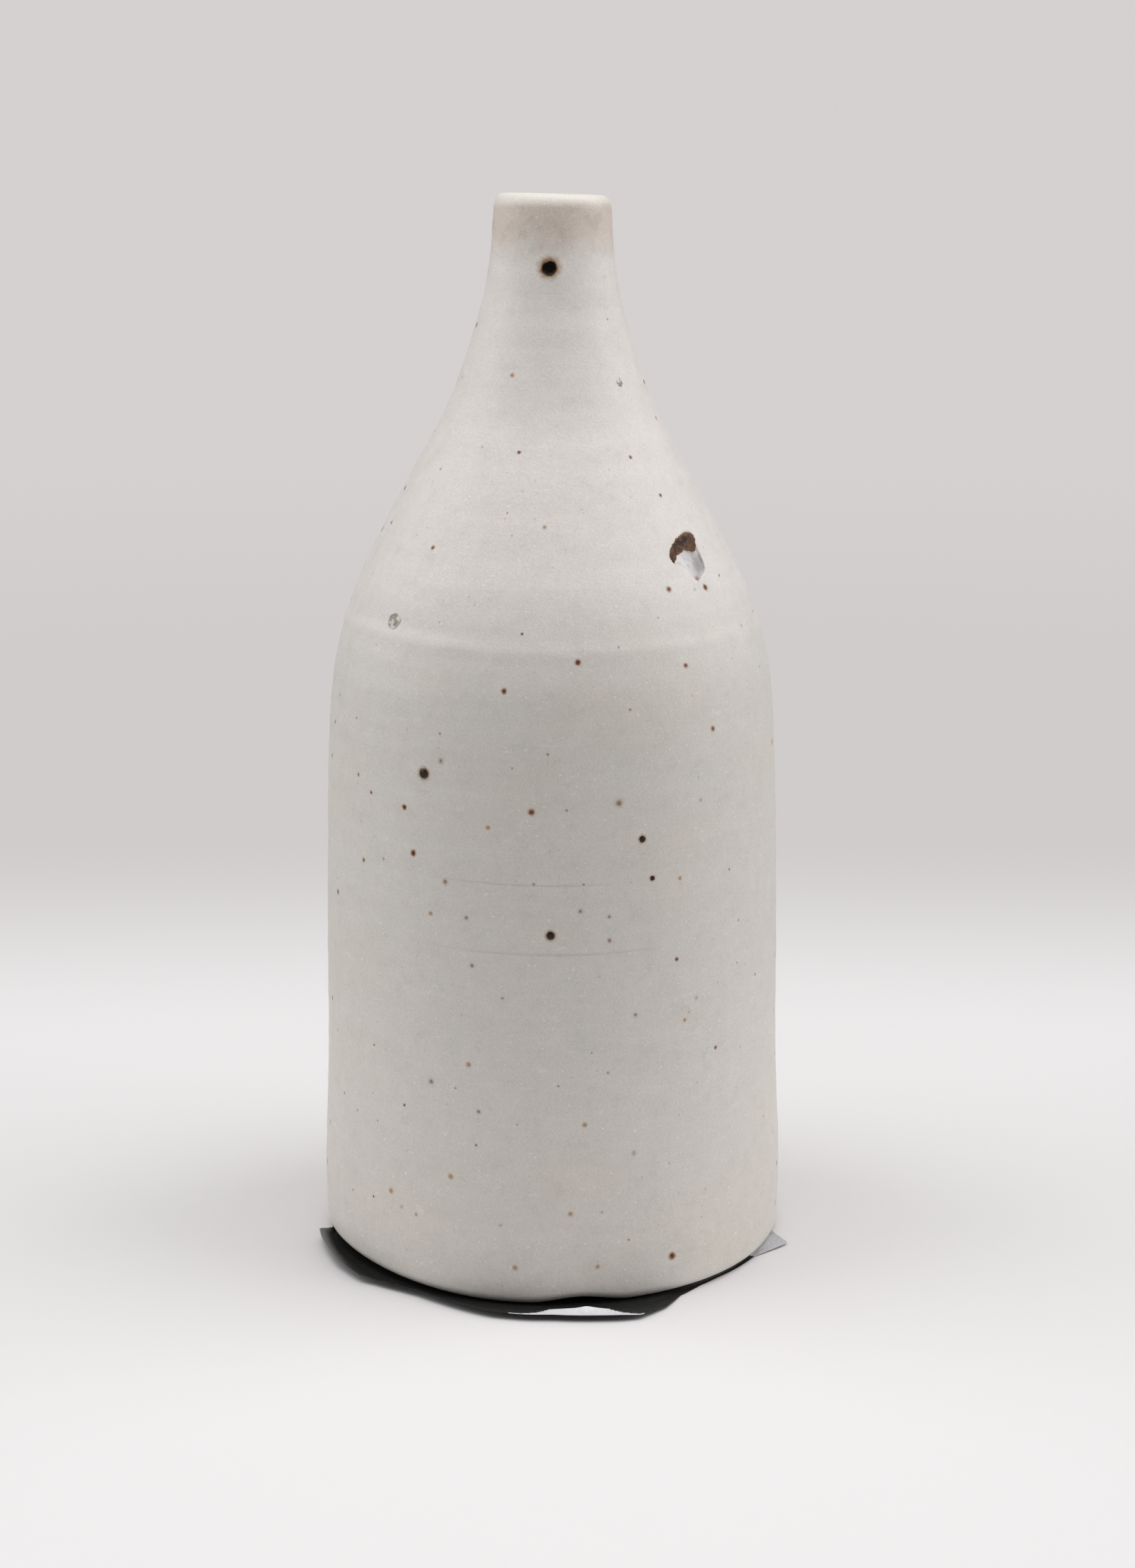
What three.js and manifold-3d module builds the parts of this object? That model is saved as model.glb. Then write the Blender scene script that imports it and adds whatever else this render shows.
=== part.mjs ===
// Bottle-shaped ceramic bud vase: a thrown clay body with a glaze skin outside and a liner glaze
// inside, iron nodules and a stone that broke through the glaze, and a thin pad under the foot.
// Millimetres, +Z up, the front faces -Y. The origin is the centre of the pad's underside.

import * as THREE from 'three';
import { mergeVertices } from 'three/addons/utils/BufferGeometryUtils.js';
import Module from 'manifold-3d';

const wasm = await Module();
wasm.setup();

// ---- Driving dimensions ----

const HEIGHT = 160; // foot to lip
const FOOT_ROUND = 1.6; // radius of the foot's outer edge
const LIP_ROUND = 1.85; // radius of the fully rounded lip, so half the wall at the mouth
const WALL = 4.8; // glazed wall of the body
const NECK_TAPER_FROM = 118; // height above which the wall thins towards the lip
const FLOOR = 7; // glazed floor, foot to inside
const FLOOR_ROUND = 10; // radius between the inner wall and the floor
const GLAZE = 0.5; // either glaze skin
const GAP = 0.06; // air between neighbouring layers
const SEAM = 0.15; // air between the glaze over the lip and the liner glaze
const GLAZE_START = -65; // degrees round the foot's edge where the wiped foot ends
const RING_WIDTH = 9; // width of the ring that the pot stands on
const RECESS = 0.6; // depth of the underside inside that ring

// Outer wall as radius and height above the foot, between the two rounded edges.
const SILHOUETTE = [
  [35.7, FOOT_ROUND],
  [35.8, 12],
  [35.0, 34],
  [34.6, 62],
  [33.5, 86],
  [30.2, 100],
  [23.4, 114],
  [15.85, 128],
  [11.4, 140],
  [9.4, 149],
  [8.65, HEIGHT - LIP_ROUND],
];
const FOOT_RADIUS = SILHOUETTE[0][0];
const LIP_RADIUS = SILHOUETTE[SILHOUETTE.length - 1][0];

// Pad
const PAD_THICKNESS = 0.5;
const PAD_FLAT_RADIUS = 34.2; // inside this the pad lies flat
const PAD_SIDES = 90;
const PAD_CURL = 1.3; // how the edge curls up: the power of the share of the way out
const PAD_CREASE_SHARE = 0.72; // where the crease runs, as a share of the way out
const PAD_CREASE_RISE = 2.5; // the power with which the sheet rises to it
const PAD_EDGE = [
  // azimuth, radius and lift of the roughly cut edge, from behind round the left side to the front
  [-180, 35.2, 0],
  [-84, 35.2, 0.4],
  [-79, 35.2, 0.9],
  [-76.5, 36.4, 1.5],
  [-75.5, 37.7, 1.9],
  [-66, 38.3, 1.7],
  [-59, 38.7, 1.6],
  [-48, 38.9, 1.3],
  [-44.5, 38.1, 1.1],
  [-39, 37.5, 1.1],
  [-33, 37.1, 1.1],
  [-25, 37.9, 1.1],
  [-12.5, 39.7, 1.1],
  [-5, 39.9, 1.1],
  [0.5, 39.8, 1.1],
  [9.3, 40.6, 1.1],
  [14.6, 41.2, 1.1],
  [18.5, 41.3, 0.8],
  [20, 40.8, 0.7],
  [25.5, 39.3, 0.4],
  [32, 36.3, 0.1],
  [40, 35, 0],
  [46, 34.8, 0],
  [62, 35.2, 0.1],
  [66.5, 36.5, 0.3],
  [72.5, 38.6, 0.4],
  [77, 36.2, 0.3],
  [80, 35.2, 0.1],
  [180, 35.2, 0],
];
const PAD_CREASE = [
  // azimuth and height of the crease behind the margin that is folded down in front
  [-180, 0],
  [-8.5, 0],
  [-4.3, 0.14],
  [-0.8, 0.41],
  [5.6, 0.76],
  [7.7, 1.02],
  [10.1, 0.72],
  [15.3, 0.21],
  [19, 0],
  [180, 0],
];
const FOOT_HEIGHT = PAD_THICKNESS + GAP; // the pot's foot above the pad's underside

// Inclusions
const POCKET_GAP = 0.2; // air round an inclusion in its pocket
const PROUD = 0.2; // how far an inclusion stands out of the glaze

// Facets
const SIDES = 36;
const CURVED_FROM = 86; // height above which the wall needs two facets between stations
const ARC_STEP = 30; // degrees

// ---- Small helpers ----

const radians = THREE.MathUtils.degToRad;
const { smoothstep } = THREE.MathUtils;

/** 1 at the centre, falling smoothly to 0 at a distance of reach. */
function bump(value, centre, reach) {
  return 1 - smoothstep(Math.abs(value - centre), 0, reach);
}

/** Degrees round the pot, 0 at the front and positive towards +X. */
function azimuthOf(point) {
  return THREE.MathUtils.radToDeg(Math.atan2(point.x, -point.y));
}

// ---- The wall as one path from the foot's edge, over the lip, to the middle of the floor ----

const wall = new THREE.SplineCurve(SILHOUETTE.map(([r, z]) => new THREE.Vector2(r, z)));

/** A point on the outer wall, with the direction out of the clay. */
function wallSample(t) {
  const tangent = wall.getTangent(t);
  return { point: wall.getPoint(t), normal: new THREE.Vector2(tangent.y, -tangent.x) };
}

/** Samples of an arc. facing is 1 where the clay is inside the arc and -1 where it is outside. */
function arc(centre, radius, from, to, facing) {
  const steps = Math.round(Math.abs(to - from) / ARC_STEP);
  return Array.from({ length: steps + 1 }, (_, i) => {
    const angle = radians(from + ((to - from) * i) / steps);
    const out = new THREE.Vector2(Math.cos(angle), Math.sin(angle));
    return { point: centre.clone().addScaledVector(out, radius), normal: out.multiplyScalar(facing) };
  });
}

/** The inner wall's sample behind an outer one: the wall thins from the shoulder to the lip. */
function boreSample({ point, normal }) {
  const taper = smoothstep(point.y, NECK_TAPER_FROM, HEIGHT - LIP_ROUND);
  const thickness = THREE.MathUtils.lerp(WALL, 2 * LIP_ROUND, taper);
  return {
    point: point.clone().addScaledVector(normal, -thickness),
    normal: normal.clone().negate(),
  };
}

const footCentre = new THREE.Vector2(FOOT_RADIUS - FOOT_ROUND, FOOT_ROUND);
const footArc = arc(footCentre, FOOT_ROUND, GLAZE_START, 0, 1);

const halfSteps = 2 * (SILHOUETTE.length - 1);
const outerWall = Array.from({ length: halfSteps + 1 }, (_, i) => ({ i, ...wallSample(i / halfSteps) }))
  .filter(({ i, point }) => i % 2 === 0 || point.y > CURVED_FROM);

const lipCentre = new THREE.Vector2(LIP_RADIUS - LIP_ROUND, HEIGHT - LIP_ROUND);
const lipArc = arc(lipCentre, LIP_ROUND, 0, 180, 1).slice(1);

const bore = outerWall
  .map(boreSample)
  .reverse()
  .filter(({ point }) => point.y > FLOOR + FLOOR_ROUND + 1 && point.y < HEIGHT - LIP_ROUND - 1);
const floorCentre = new THREE.Vector2(bore.at(-1).point.x - FLOOR_ROUND, FLOOR + FLOOR_ROUND);
const floorArc = arc(floorCentre, FLOOR_ROUND, 0, -90, -1);
const floorMiddle = { point: new THREE.Vector2(0, FLOOR), normal: new THREE.Vector2(0, 1) };

const outsidePath = [...footArc, ...outerWall.slice(1), ...lipArc];
const insidePath = [...bore, ...floorArc, floorMiddle];
const linerTop = {
  point: new THREE.Vector2(LIP_RADIUS - 2 * LIP_ROUND, HEIGHT - LIP_ROUND - SEAM),
  normal: new THREE.Vector2(-1, 0),
};

/** The path moved down into the clay. */
function sunk(path, depth) {
  return path.map(({ point, normal }) => {
    const moved = point.clone().addScaledVector(normal, -depth);
    moved.x = Math.max(moved.x, 0);
    return moved;
  });
}

/** A closed outline between two depths of a path. */
function skin(path) {
  const outline = [...sunk(path, GLAZE).reverse(), ...sunk(path, 0)];
  return outline[0].x === 0 ? outline : [...outline, outline[0].clone()];
}

// ---- What the hand left: a slight lean, a tilted lip and an uneven foot ----

/** How far the foot's edge is lifted off the pad, by the place round the pot. */
function footLift(azimuth) {
  const thumbNotch = 0.9 * bump(azimuth, 7, 13);
  const softLeftEdge = 1.1 * bump(azimuth, -62, 50);
  return thumbNotch + softLeftEdge;
}

/** Moves a point of the true lathe shape to where it is on the pot. */
function handmade(point) {
  const { z } = point;
  const radius = Math.hypot(point.x, point.y);
  const lean = 0.25 * smoothstep(z, 136, 152) - 0.22 * bump(z, 114, 22);
  const tilt = 0.22 * (1 + point.x / LIP_RADIUS) * smoothstep(z, 140, HEIGHT);
  const nearFoot = (1 - smoothstep(z, 0, 6)) * smoothstep(radius, 29, FOOT_RADIUS - FOOT_ROUND);
  point.x += lean;
  point.z += footLift(azimuthOf(point)) * nearFoot - tilt;
  return point;
}

// ---- Solids ----

/** Merges a geometry's shared corners and drops the slivers that a pole leaves. */
function closed(geometry) {
  geometry.deleteAttribute('normal');
  geometry.deleteAttribute('uv');
  const merged = mergeVertices(geometry, 1e-4);
  const kept = [];
  for (let i = 0; i < merged.index.count; i += 3) {
    const [a, b, c] = [0, 1, 2].map((k) => merged.index.getX(i + k));
    if (a !== b && b !== c && c !== a) kept.push(a, b, c);
  }
  merged.setIndex(kept);
  return merged;
}

/** Applies a function to each corner of a geometry. */
function reshape(geometry, change) {
  const position = geometry.getAttribute('position');
  const point = new THREE.Vector3();
  for (let i = 0; i < position.count; i += 1) {
    change(point.fromBufferAttribute(position, i));
    position.setXYZ(i, point.x, point.y, point.z);
  }
  return geometry;
}

/** An outline of radius and height, turned about Z. Its first point is at the front. */
function turned(outline, sides = SIDES) {
  return closed(new THREE.LatheGeometry(outline, sides).rotateX(Math.PI / 2));
}

function toSolid(geometry) {
  const mesh = new wasm.Mesh({
    numProp: 3,
    vertProperties: new Float32Array(geometry.getAttribute('position').array),
    triVerts: new Uint32Array(geometry.index.array),
  });
  return new wasm.Manifold(mesh);
}

function fromSolid(solid) {
  const { vertProperties, triVerts } = solid.getMesh();
  const geometry = new THREE.BufferGeometry();
  geometry.setAttribute('position', new THREE.BufferAttribute(vertProperties, 3));
  geometry.setIndex(new THREE.BufferAttribute(triVerts, 1));
  return geometry;
}

/** Cuts the given geometries out of a geometry. */
function cut(geometry, cutters) {
  const left = cutters.reduce((solid, cutter) => solid.subtract(toSolid(cutter)), toSolid(geometry));
  return fromSolid(left);
}

function named(name, geometry, color, roughness) {
  const shaded = geometry.toNonIndexed();
  shaded.computeVertexNormals();
  const material = new THREE.MeshStandardMaterial({ color, roughness, metalness: 0 });
  const mesh = new THREE.Mesh(shaded, material);
  mesh.name = name;
  return mesh;
}

// ---- Inclusions: each sits in a pocket through the glaze, with +Z out of the wall ----

/** Where the wall is at a place round the pot and a height: a matrix with +Z out of the clay. */
function placeOnWall(azimuth, height) {
  let [low, high] = [0, 1];
  while (high - low > 1e-6) {
    const middle = (low + high) / 2;
    if (wall.getPoint(middle).y < height) low = middle;
    else high = middle;
  }
  const { point, normal } = wallSample(low);
  const [sine, cosine] = [Math.sin(radians(azimuth)), Math.cos(radians(azimuth))];
  const position = handmade(new THREE.Vector3(point.x * sine, -point.x * cosine, point.y));
  const out = new THREE.Vector3(normal.x * sine, -normal.x * cosine, normal.y);
  const right = new THREE.Vector3(cosine, sine, 0);
  const up = new THREE.Vector3().crossVectors(out, right);
  return new THREE.Matrix4().makeBasis(right, up, out).setPosition(position);
}

/** A rounded lump of the given width, height and depth, made uneven by slow waves. */
function lump(width, height, depth, unevenness, detail) {
  const geometry = closed(new THREE.IcosahedronGeometry(1, detail));
  return reshape(geometry, (point) => {
    const waves = Math.sin(3 * point.x + 1) * Math.cos(2.5 * point.y) + Math.sin(4 * point.z + point.x);
    point.multiplyScalar(1 + unevenness * waves);
    point.multiply(new THREE.Vector3(width / 2, height / 2, depth / 2));
  });
}

/** The same lump grown all round, which leaves the air gap when it is cut out of a neighbour. */
function grown({ width, height, depth, unevenness, detail }, gap) {
  return lump(width + 2 * gap, height + 2 * gap, depth + 2 * gap, unevenness, detail);
}

/** A lump's placing: at a spot on the wall, turned in the wall's plane, standing slightly proud. */
function placing({ azimuth, at, depth, turn = 0, proud = PROUD }) {
  const place = placeOnWall(azimuth, at);
  const spin = new THREE.Matrix4().makeRotationZ(radians(turn));
  const sink = new THREE.Matrix4().makeTranslation(0, 0, proud - depth / 2);
  return place.multiply(spin).multiply(sink);
}

const bead = (name, azimuth, at, size) => ({
  name,
  azimuth,
  at,
  width: size,
  height: size,
  depth: 0.7 * size,
  unevenness: 0.02,
  detail: 1,
  color: 0x17110e,
  roughness: 0.25,
});

const grit = (name, azimuth, at, size, turn) => ({
  name,
  azimuth,
  at,
  width: size,
  height: 0.75 * size,
  depth: 0.6 * size,
  unevenness: 0.07,
  detail: 1,
  turn,
  proud: 0.1,
  color: 0x8b8b7c,
  roughness: 0.8,
});

const stone = {
  name: 'shoulder_stone',
  azimuth: 50.5,
  at: 111,
  width: 5.6,
  height: 3.6,
  depth: 2.4,
  unevenness: 0.07,
  detail: 2,
  turn: 24,
  proud: 0.45,
  color: 0x4b3428,
  roughness: 0.85,
};

const pool = {
  name: 'stone_glaze_pool',
  azimuth: 49.5,
  at: 107.6,
  width: 4.9,
  height: 5.6,
  depth: 1.6,
  unevenness: 0.03,
  detail: 2,
  turn: -30,
  proud: 0.3,
  color: 0xc3cad8,
  roughness: 0.3,
};

const beads = [
  bead('neck_iron_bead', -2.8, 149.2, 2.2),
  bead('left_iron_bead', -32.2, 78.9, 1.7),
  bead('front_iron_bead', 0, 56.5, 1.6),
  bead('right_iron_bead', 22.3, 70, 1.3),
  bead('lower_right_iron_bead', 24.9, 64.1, 1.0),
];
const grits = [
  grit('neck_grit', 46, 132.8, 1.5, 60),
  grit('shoulder_grit', -48.2, 99.6, 2.6, 50),
];

/** An inclusion's mesh, with anything already in its place cut away. */
function inclusion(description, cutters = []) {
  const place = placing(description);
  const inverse = place.clone().invert();
  const local = cutters.map((cutter) => cutter.clone().applyMatrix4(inverse));
  const whole = grown(description, 0);
  const geometry = local.length ? cut(whole, local) : whole;
  const mesh = named(description.name, geometry, description.color, description.roughness);
  mesh.applyMatrix4(place);
  return mesh;
}

/** The space that an inclusion takes out of the wall, in the pot's own frame. */
function pocket(description) {
  return grown(description, POCKET_GAP).applyMatrix4(placing(description));
}

// ---- The layers of the pot ----

const pockets = [stone, pool, ...beads, ...grits].map(pocket);

function clayBody() {
  const footEdge = FOOT_RADIUS - FOOT_ROUND;
  const underside = [
    new THREE.Vector2(0, RECESS),
    new THREE.Vector2(footEdge - RING_WIDTH - RECESS, RECESS),
    new THREE.Vector2(footEdge - RING_WIDTH, 0),
    new THREE.Vector2(footEdge, 0),
  ];
  const outline = [...underside, ...sunk([...outsidePath, ...insidePath], GLAZE + GAP)];
  const geometry = cut(reshape(turned(outline), handmade), pockets);
  return named('clay_body', geometry, 0xcfc8bb, 0.9);
}

function outerGlaze() {
  const geometry = cut(reshape(turned(skin(outsidePath)), handmade), pockets);
  return named('outer_glaze', geometry, 0xd9d8d2, 0.55);
}

function linerGlaze() {
  const geometry = reshape(turned(skin([linerTop, ...insidePath])), handmade);
  return named('liner_glaze', geometry, 0xd9d8d2, 0.4);
}

// ---- The pad under the foot: a roughly cut thin sheet whose edge has curled ----

/** The values that a table of rows, each led by an azimuth, gives between its rows. */
function between(table, azimuth) {
  const next = Math.max(table.findIndex(([end]) => end >= azimuth), 1);
  const [start, ...before] = table[next - 1];
  const [end, ...after] = table[next];
  const share = (azimuth - start) / (end - start);
  return before.map((value, i) => THREE.MathUtils.lerp(value, after[i], share));
}

/** How far the crease lifts the sheet at a share of the way out, as a part of its full height. */
function creased(share) {
  const rising = (share / PAD_CREASE_SHARE) ** PAD_CREASE_RISE;
  return share < PAD_CREASE_SHARE ? rising : (1 - share) / (1 - PAD_CREASE_SHARE);
}

function footPad() {
  const rings = [0, 0.2, 0.45, PAD_CREASE_SHARE, 1].map((share) => PAD_FLAT_RADIUS + share);
  const under = rings.map((radius) => new THREE.Vector2(radius, 0));
  const over = rings.map((radius) => new THREE.Vector2(radius, PAD_THICKNESS)).reverse();
  const outline = [new THREE.Vector2(0, 0), ...under, ...over, new THREE.Vector2(0, PAD_THICKNESS)];
  const geometry = reshape(turned(outline, PAD_SIDES), (point) => {
    const azimuth = azimuthOf(point);
    const radius = Math.hypot(point.x, point.y);
    const share = Math.max(radius - PAD_FLAT_RADIUS, 0);
    const [edgeRadius, edgeLift] = between(PAD_EDGE, azimuth);
    const [crease] = between(PAD_CREASE, azimuth);
    const spread = 1 + (share * (edgeRadius - PAD_FLAT_RADIUS - 1)) / Math.max(radius, 1);
    const lift = edgeLift * share ** PAD_CURL + crease * creased(share);
    point.set(point.x * spread, point.y * spread, point.z + lift);
  });
  return named('foot_pad', geometry, 0x2b2c2b, 0.6);
}

// ---- The whole object ----

const pot = new THREE.Group();
pot.position.z = FOOT_HEIGHT;
pot.add(clayBody(), outerGlaze(), linerGlaze());
pot.add(inclusion(stone), inclusion(pool, [pocket(stone)]));
pot.add(...beads.map((each) => inclusion(each)), ...grits.map((each) => inclusion(each)));

const vase = new THREE.Group();
vase.add(footPad(), pot);

export default vase;
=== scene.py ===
"""Looks of the bottle-shaped bud vase: thrown clay under a speckled satin-white glaze.

Lengths are in millimetres until a mesh is made, and heights are above the pot's foot. A place on the
pot is an azimuth, in degrees round from the front with + to the right, and a height.
"""

import math
import random

import bpy
import numpy as np
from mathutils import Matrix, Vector, noise


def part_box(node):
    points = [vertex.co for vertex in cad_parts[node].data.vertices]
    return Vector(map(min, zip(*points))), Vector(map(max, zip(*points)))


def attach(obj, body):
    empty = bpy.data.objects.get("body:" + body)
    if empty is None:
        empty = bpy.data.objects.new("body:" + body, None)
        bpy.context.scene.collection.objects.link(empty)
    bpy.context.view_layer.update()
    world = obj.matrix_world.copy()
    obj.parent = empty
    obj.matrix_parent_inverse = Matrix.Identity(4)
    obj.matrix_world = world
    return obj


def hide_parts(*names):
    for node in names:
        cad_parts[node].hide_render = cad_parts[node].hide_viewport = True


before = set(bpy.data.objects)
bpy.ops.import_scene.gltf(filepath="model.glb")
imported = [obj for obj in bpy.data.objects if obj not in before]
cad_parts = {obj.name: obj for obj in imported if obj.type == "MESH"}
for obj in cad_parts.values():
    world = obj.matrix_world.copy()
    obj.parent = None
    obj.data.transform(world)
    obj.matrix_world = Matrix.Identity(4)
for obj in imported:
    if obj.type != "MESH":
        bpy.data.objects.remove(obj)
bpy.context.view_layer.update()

# ---- Driving dimensions, from the frame and from the part's own outline ----

MM = 0.001
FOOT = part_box("clay_body")[0][2] / MM  # the foot's height above the surface it stands on
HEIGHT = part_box("outer_glaze")[1][2] / MM - FOOT  # foot to lip

FOOT_ROUND = 1.6
LIP_ROUND = 1.85
OUTLINE = [  # radius and height of the outer wall, as in the part
    (35.7, FOOT_ROUND), (35.8, 12), (35.0, 34), (34.6, 62), (33.5, 86), (30.2, 100), (23.4, 114),
    (15.85, 128), (11.4, 140), (9.4, 149), (8.65, HEIGHT - LIP_ROUND),
]
FOOT_RADIUS = OUTLINE[0][0]
LIP_RADIUS = OUTLINE[-1][0]
WALL = 4.8
NECK_TAPER_FROM = 118
FLOOR_THICKNESS = 7
FLOOR_ROUND = 10
GLAZE = 0.5
GAP = 0.06
GLAZE_START = -65  # degrees round the foot's edge where the wiped foot ends
RING_WIDTH = 9
RECESS = 0.6

ROW_STEP = 0.7  # spacing of the mesh rows up the wall
COLUMN_STEP = 1.3  # spacing of the mesh columns round the pot, in degrees

# Thin lines that a tool scored while the pot turned, two in front and two at the back: height,
# middle azimuth, and half of their length in degrees
SCORED_LINES = [(63.9, -7, 30), (53.7, -2, 38), (71.5, 165, 50), (37.0, 118, 28)]
SCORE_DEPTH = 0.08

# What the potter's hand did to the turned shape
FOOT_LIFTS = [(0.9, 7, 13), (1.1, -62, 50)]  # a thumb's dent and a softer edge: lift, azimuth, reach
NECK_LEAN = 0.25  # how far the neck leans to the right
SHOULDER_LEAN = 0.22  # and the shoulder to the left
LIP_TILT = 0.22  # how much lower the lip is in its middle than at its left

# The stone that burst through the shoulder, and the pit full of milky glaze that it left
STONE_AZIMUTH = 49.5
STONE_HEIGHT = 108.6
PIT_DEPTH = 0.45

random.seed(7)

# ---- The pot's shape ----


def smoothstep(value, low, high):
    share = np.clip((value - low) / (high - low), 0, 1)
    return share * share * (3 - 2 * share)


def bump(value, centre, reach):
    """1 at the centre, falling smoothly to 0 at a distance of reach."""
    return 1 - smoothstep(np.abs(value - centre), 0, reach)


def ridge(value, centre, width):
    """A bell curve of height 1."""
    return np.exp(-(((value - centre) / width) ** 2))


def spline(stations, steps):
    """Points on a smooth curve through the stations, with the same number between each two."""
    given = np.array(stations, float)
    ends = np.vstack([given[0], given, given[-1]])
    share = np.linspace(0, 1, steps, endpoint=False)[:, None]
    pieces = []
    for before, start, end, after in zip(ends, ends[1:], ends[2:], ends[3:]):
        leave, arrive = (end - before) / 2, (after - start) / 2
        cubic = (2 * start - 2 * end + leave + arrive) * share**3
        square = (3 * end - 3 * start - 2 * leave - arrive) * share**2
        pieces.append(cubic + square + leave * share + start)
    return np.vstack([*pieces, given[-1:]])


def arc(centre, radius, start, end, step):
    """Points and outward normals of an arc, angles in degrees from the radial direction."""
    angles = np.radians(np.linspace(start, end, int(abs(end - start) / step) + 1))
    normals = np.stack([np.cos(angles), np.sin(angles)], 1)
    return np.array(centre) + radius * normals, normals


wall_curve = spline(OUTLINE, 80)
wall_tangent = np.gradient(wall_curve, axis=0)
wall_normal = np.stack([wall_tangent[:, 1], -wall_tangent[:, 0]], 1)
wall_normal /= np.linalg.norm(wall_normal, axis=1)[:, None]
wall_length = np.concatenate([[0], np.cumsum(np.linalg.norm(np.diff(wall_curve, axis=0), axis=1))])


def wall_at(heights):
    """Points and outward normals of the wall's outline at the given heights."""
    columns = [*wall_curve.T[:1], *wall_normal.T]
    radius, out, up = (np.interp(heights, wall_curve[:, 1], column) for column in columns)
    return np.stack([radius, heights], -1), np.stack([out, up], -1)


def foot_lift(azimuth):
    """How far the foot's edge is lifted."""
    return sum(lift * bump(azimuth, middle, reach) for lift, middle, reach in FOOT_LIFTS)


def handmade(points):
    """Moves points of the true turned shape to where they are on the pot, and onto its foot."""
    x, y, z = points[..., 0], points[..., 1], points[..., 2]
    radius = np.hypot(x, y)
    lean = NECK_LEAN * smoothstep(z, 136, 152) - SHOULDER_LEAN * bump(z, 114, 22)
    tilt = LIP_TILT * (1 + x / LIP_RADIUS) * smoothstep(z, 140, HEIGHT)
    near_foot = (1 - smoothstep(z, 0, 6)) * smoothstep(radius, 29, FOOT_RADIUS - FOOT_ROUND)
    azimuth = np.degrees(np.arctan2(x, -y))
    lifted = z + foot_lift(azimuth) * near_foot - tilt
    return np.stack([x + lean, y, lifted + FOOT], -1)


def turned(outline, azimuths):
    """The outline's points at each azimuth, as rows by columns by 3. The outline may differ from
    column to column."""
    outline = outline if outline.ndim == 3 else outline[:, None]
    radius, height = outline[..., 0], outline[..., 1]
    x, y = radius * np.sin(np.radians(azimuths)), -radius * np.cos(np.radians(azimuths))
    return np.stack([x, y, np.broadcast_to(height, x.shape)], -1)


def full_turn(count):
    """Evenly spaced angles once round, in radians."""
    return np.linspace(0, 2 * np.pi, count, endpoint=False)


def noise_at(points, scale, octaves=1):
    """Smooth noise from -1 to 1 at each point. scale is the size of its features."""
    flat = points.reshape(-1, 3) / scale
    if octaves == 1:
        values = [noise.noise(Vector(p)) for p in flat]
    else:
        values = [noise.fractal(Vector(p), 1.0, 2.0, octaves) for p in flat]
    return np.array(values).reshape(points.shape[:-1])


def flat_noise(right, up, layer, scale, octaves=1):
    """The same over a flat place. Each layer has noise of its own."""
    return noise_at(np.stack([right, up, np.full(right.shape, layer)], -1), scale, octaves)


# ---- Places on the wall, and flat outlines laid on it ----


def on_wall(azimuth, height, right=0.0, up=0.0, out=0.0):
    """The point of the pot that lies right and up along the wall from a place, and out of it."""
    start = np.interp(height, wall_curve[:, 1], wall_length)
    level = np.interp(start + up, wall_length, wall_curve[:, 1])
    point, normal = wall_at(np.asarray(level, float))
    angle = azimuth + np.degrees(right / point[..., 0])
    moved = point + np.asarray(out)[..., None] * normal
    angle, radius, z = np.broadcast_arrays(np.radians(angle), moved[..., 0], moved[..., 1])
    return handmade(np.stack([radius * np.sin(angle), -radius * np.cos(angle), z], -1))


def seen_from(azimuth, height, azimuths, heights):
    """How far right of and above a place each given place lies, along the wall."""
    radius = np.interp(heights, wall_curve[:, 1], wall_curve[:, 0])
    right = np.radians((azimuths - azimuth + 180) % 360 - 180) * radius
    length = np.interp(heights, wall_curve[:, 1], wall_length)
    return right, length - np.interp(height, wall_curve[:, 1], wall_length)


def inside_depth(right, up, outline):
    """Distance to a closed outline, positive inside it."""
    points = np.stack([right, up], -1)[..., None, :]
    start, end = outline, np.roll(outline, -1, axis=0)
    side = end - start
    share = np.clip(((points - start) * side).sum(-1) / (side**2).sum(-1), 0, 1)
    nearest = np.linalg.norm(points - (start + share[..., None] * side), axis=-1).min(-1)
    crosses = (start[:, 1] > points[..., 1]) != (end[:, 1] > points[..., 1])
    rise = np.where(side[:, 1] == 0, 1e-9, side[:, 1])
    at = start[:, 0] + (points[..., 1] - start[:, 1]) * side[:, 0] / rise
    inside = (crosses & (points[..., 0] < at)).sum(-1) % 2 == 1
    return np.where(inside, nearest, -nearest)


def closed_curve(stations, steps):
    """A smooth closed curve through the stations."""
    count = len(stations)
    wrapped = [*stations[-2:], *stations, *stations[:2]]
    return spline(wrapped, steps)[2 * steps : (2 + count) * steps]


PIT_STATIONS = [  # right and up along the edge of the pit
    (0.8, 3.3), (1.9, 3.35), (2.95, 3.1), (2.95, 1.6), (3.1, -0.4), (2.95, -2.4), (1.3, -3.3),
    (0.3, -4.0), (-0.7, -3.2), (-1.9, -1.7), (-3.3, -0.9), (-3.6, 0.4), (-2.5, 1.8), (-0.8, 2.6),
]
PIT_OUTLINE = closed_curve(PIT_STATIONS, 8)


def pit_depth(right, up):
    """How deep the pit is: steep at its right, and running out to nothing at its left."""
    edge = smoothstep(inside_depth(right, up, PIT_OUTLINE), -0.12, 0.25)
    return PIT_DEPTH * edge * (0.05 + 0.95 * smoothstep(right, -2.5, 2.2))


# ---- Specks: iron that bled into the glaze ----
# Azimuth, height and diameter of the ones that a person would know this pot by; the rest are strewn.

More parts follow.
